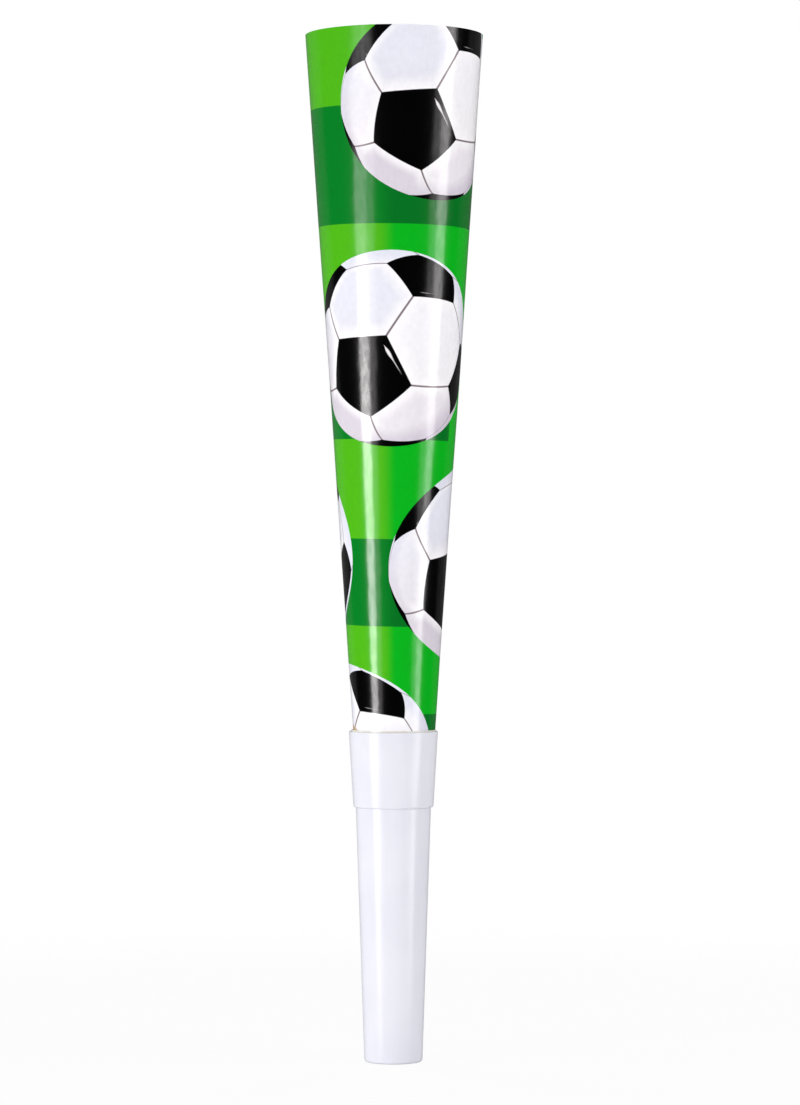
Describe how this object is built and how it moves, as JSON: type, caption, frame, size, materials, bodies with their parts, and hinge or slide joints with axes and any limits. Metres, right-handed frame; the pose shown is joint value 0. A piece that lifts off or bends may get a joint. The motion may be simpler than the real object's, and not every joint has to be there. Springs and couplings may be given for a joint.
{
  "type": "party horn",
  "caption": "Rolled card cone with a football print, glued in a tapered white plastic mouthpiece that holds a beating reed.",
  "frame": {"origin": "centre of the blow bore in the end face of the mouthpiece", "axes": "+Z along the horn from the blow end to the bell, -Y towards the viewer of the picture"},
  "size_m": [0.0355, 0.0358, 0.205],
  "materials": {
    "mouthpiece_plastic": "moulded gloss",
    "reed_plastic": "moulded",
    "reed_film": "clear film",
    "raw_board": "uncoated",
    "gloss_print": "gloss laminated print",
    "glue": "dried glue"
  },
  "bodies": {
    "horn": {"mouthpiece": "mouthpiece_plastic", "cone_board": "raw_board", "cone_print": "gloss_print", "seam_glue": "glue", "socket_glue": "glue", "reed_plug": "reed_plastic", "reed_trough": "reed_plastic", "reed_wedge": "reed_plastic", "reed_root": "reed_film"},
    "reed": {"reed_tongue": "reed_film"}
  },
  "joints": [
    {"name": "reed_beat", "type": "hinge", "parent": "horn", "child": "reed", "pos_m": [0.00065, 0, 0.03785], "axis": [0, 1, 0], "range_deg": [-2, 2.9], "stiffness_Nm_per_rad": 0.0014}
  ]
}
